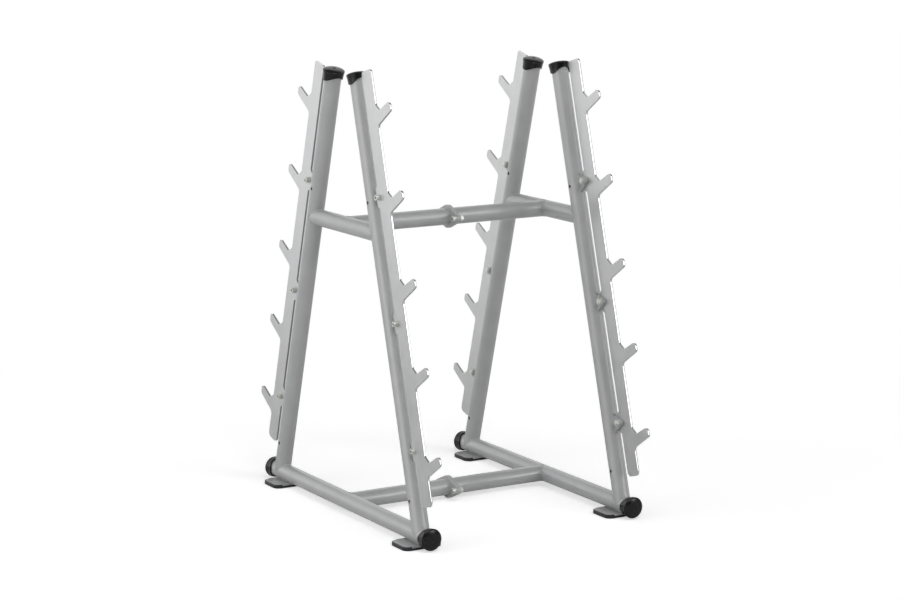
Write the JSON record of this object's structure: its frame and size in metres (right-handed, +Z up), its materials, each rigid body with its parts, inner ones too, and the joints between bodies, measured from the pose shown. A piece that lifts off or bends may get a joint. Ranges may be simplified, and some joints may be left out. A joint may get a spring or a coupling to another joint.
{
  "type": "barbell storage rack",
  "caption": "Free-standing A-frame rack of round steel tube with hooked plates along both slopes that hold barbells level, one above another.",
  "frame": {"origin": "on the floor, midway between the two A-frames and midway between their front and rear feet", "axes": "+X along the stored barbells from the left frame to the right one, -Y towards the front, +Z up"},
  "size_m": [0.972, 1.3342, 1.5987],
  "materials": {
    "frame_paint": "satin silver-grey powder coat",
    "zinc": "zinc-plated, slightly worn",
    "cap_plastic": "semi-gloss black",
    "rubber": "matt black"
  },
  "bodies": {
    "root": {"left_base_tube": "frame_paint", "left_crossbar": "frame_paint", "left_rear_leg": "frame_paint", "left_rear_hook_plate": "frame_paint", "left_rear_plate_bolt_1": "zinc", "left_rear_plate_nut_1": "zinc", "left_rear_plate_bolt_2": "zinc", "left_rear_plate_nut_2": "zinc", "left_rear_plate_bolt_3": "zinc", "left_rear_plate_nut_3": "zinc", "left_rear_leg_cap": "cap_plastic", "left_rear_base_cap": "cap_plastic", "left_rear_foot_pad": "rubber", "left_front_leg": "frame_paint", "left_front_hook_plate": "frame_paint", "left_front_plate_bolt_1": "zinc", "left_front_plate_nut_1": "zinc", "left_front_plate_bolt_2": "zinc", "left_front_plate_nut_2": "zinc", "left_front_plate_bolt_3": "zinc", "left_front_plate_nut_3": "zinc", "left_front_leg_cap": "cap_plastic", "left_front_base_cap": "cap_plastic", "left_front_foot_pad": "rubber", "right_base_tube": "frame_paint", "right_crossbar": "frame_paint", "right_rear_leg": "frame_paint", "right_rear_hook_plate": "frame_paint", "right_rear_plate_bolt_1": "zinc", "right_rear_plate_nut_1": "zinc", "right_rear_plate_bolt_2": "zinc", "right_rear_plate_nut_2": "zinc", "right_rear_plate_bolt_3": "zinc", "right_rear_plate_nut_3": "zinc", "right_rear_leg_cap": "cap_plastic", "right_rear_base_cap": "cap_plastic", "right_rear_foot_pad": "rubber", "right_front_leg": "frame_paint", "right_front_hook_plate": "frame_paint", "right_front_plate_bolt_1": "zinc", "right_front_plate_nut_1": "zinc", "right_front_plate_bolt_2": "zinc", "right_front_plate_nut_2": "zinc", "right_front_plate_bolt_3": "zinc", "right_front_plate_nut_3": "zinc", "right_front_leg_cap": "cap_plastic", "right_front_base_cap": "cap_plastic", "right_front_foot_pad": "rubber", "lower_spreader_left": "frame_paint", "lower_spreader_right": "frame_paint", "lower_joint_bolt_front": "zinc", "lower_joint_nut_front": "zinc", "lower_joint_bolt_rear": "zinc", "lower_joint_nut_rear": "zinc", "upper_spreader_left": "frame_paint", "upper_spreader_right": "frame_paint", "upper_joint_bolt_front": "zinc", "upper_joint_nut_front": "zinc", "upper_joint_bolt_rear": "zinc", "upper_joint_nut_rear": "zinc"}
  },
  "joints": []
}
